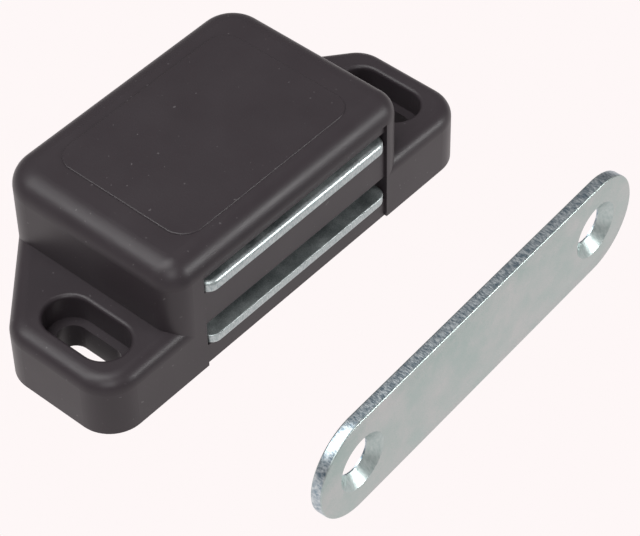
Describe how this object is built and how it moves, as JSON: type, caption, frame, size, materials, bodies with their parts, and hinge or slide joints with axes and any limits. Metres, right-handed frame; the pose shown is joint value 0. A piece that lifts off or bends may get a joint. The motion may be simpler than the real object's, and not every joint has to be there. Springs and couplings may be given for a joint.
{
  "type": "magnetic catch",
  "caption": "Magnetic cabinet catch: dark plastic housing with a slotted screw ear at each end, a magnet between steel pole plates, and a zinc-plated strike plate.",
  "frame": {"origin": "on the mounting face, halfway along the catch, in the middle of the front wall's foot", "axes": "+X along the catch, -Y out of the pole side towards the strike plate, +Z away from the mounting face"},
  "size_m": [0.0621, 0.0535, 0.0177],
  "materials": {
    "housing": "satin",
    "magnet": "matte",
    "pole_plate": "satin",
    "strike_plate": "satin"
  },
  "bodies": {
    "catch_housing": {"housing": "housing"},
    "magnet_pack": {"magnet": "magnet", "lower_pole_plate": "pole_plate", "upper_pole_plate": "pole_plate"},
    "door_strike": {"strike_plate": "strike_plate"}
  },
  "joints": [
    {"name": "pack_float", "type": "slide", "parent": "catch_housing", "child": "magnet_pack", "axis": [0, 1, 0], "range_m": [0, 0.00075]},
    {"name": "door_swing", "type": "hinge", "parent": "catch_housing", "child": "door_strike", "pos_m": [0.51405, -0.0017, 0], "axis": [0, 0, 1], "range_deg": [-2.56, 7.44]}
  ]
}
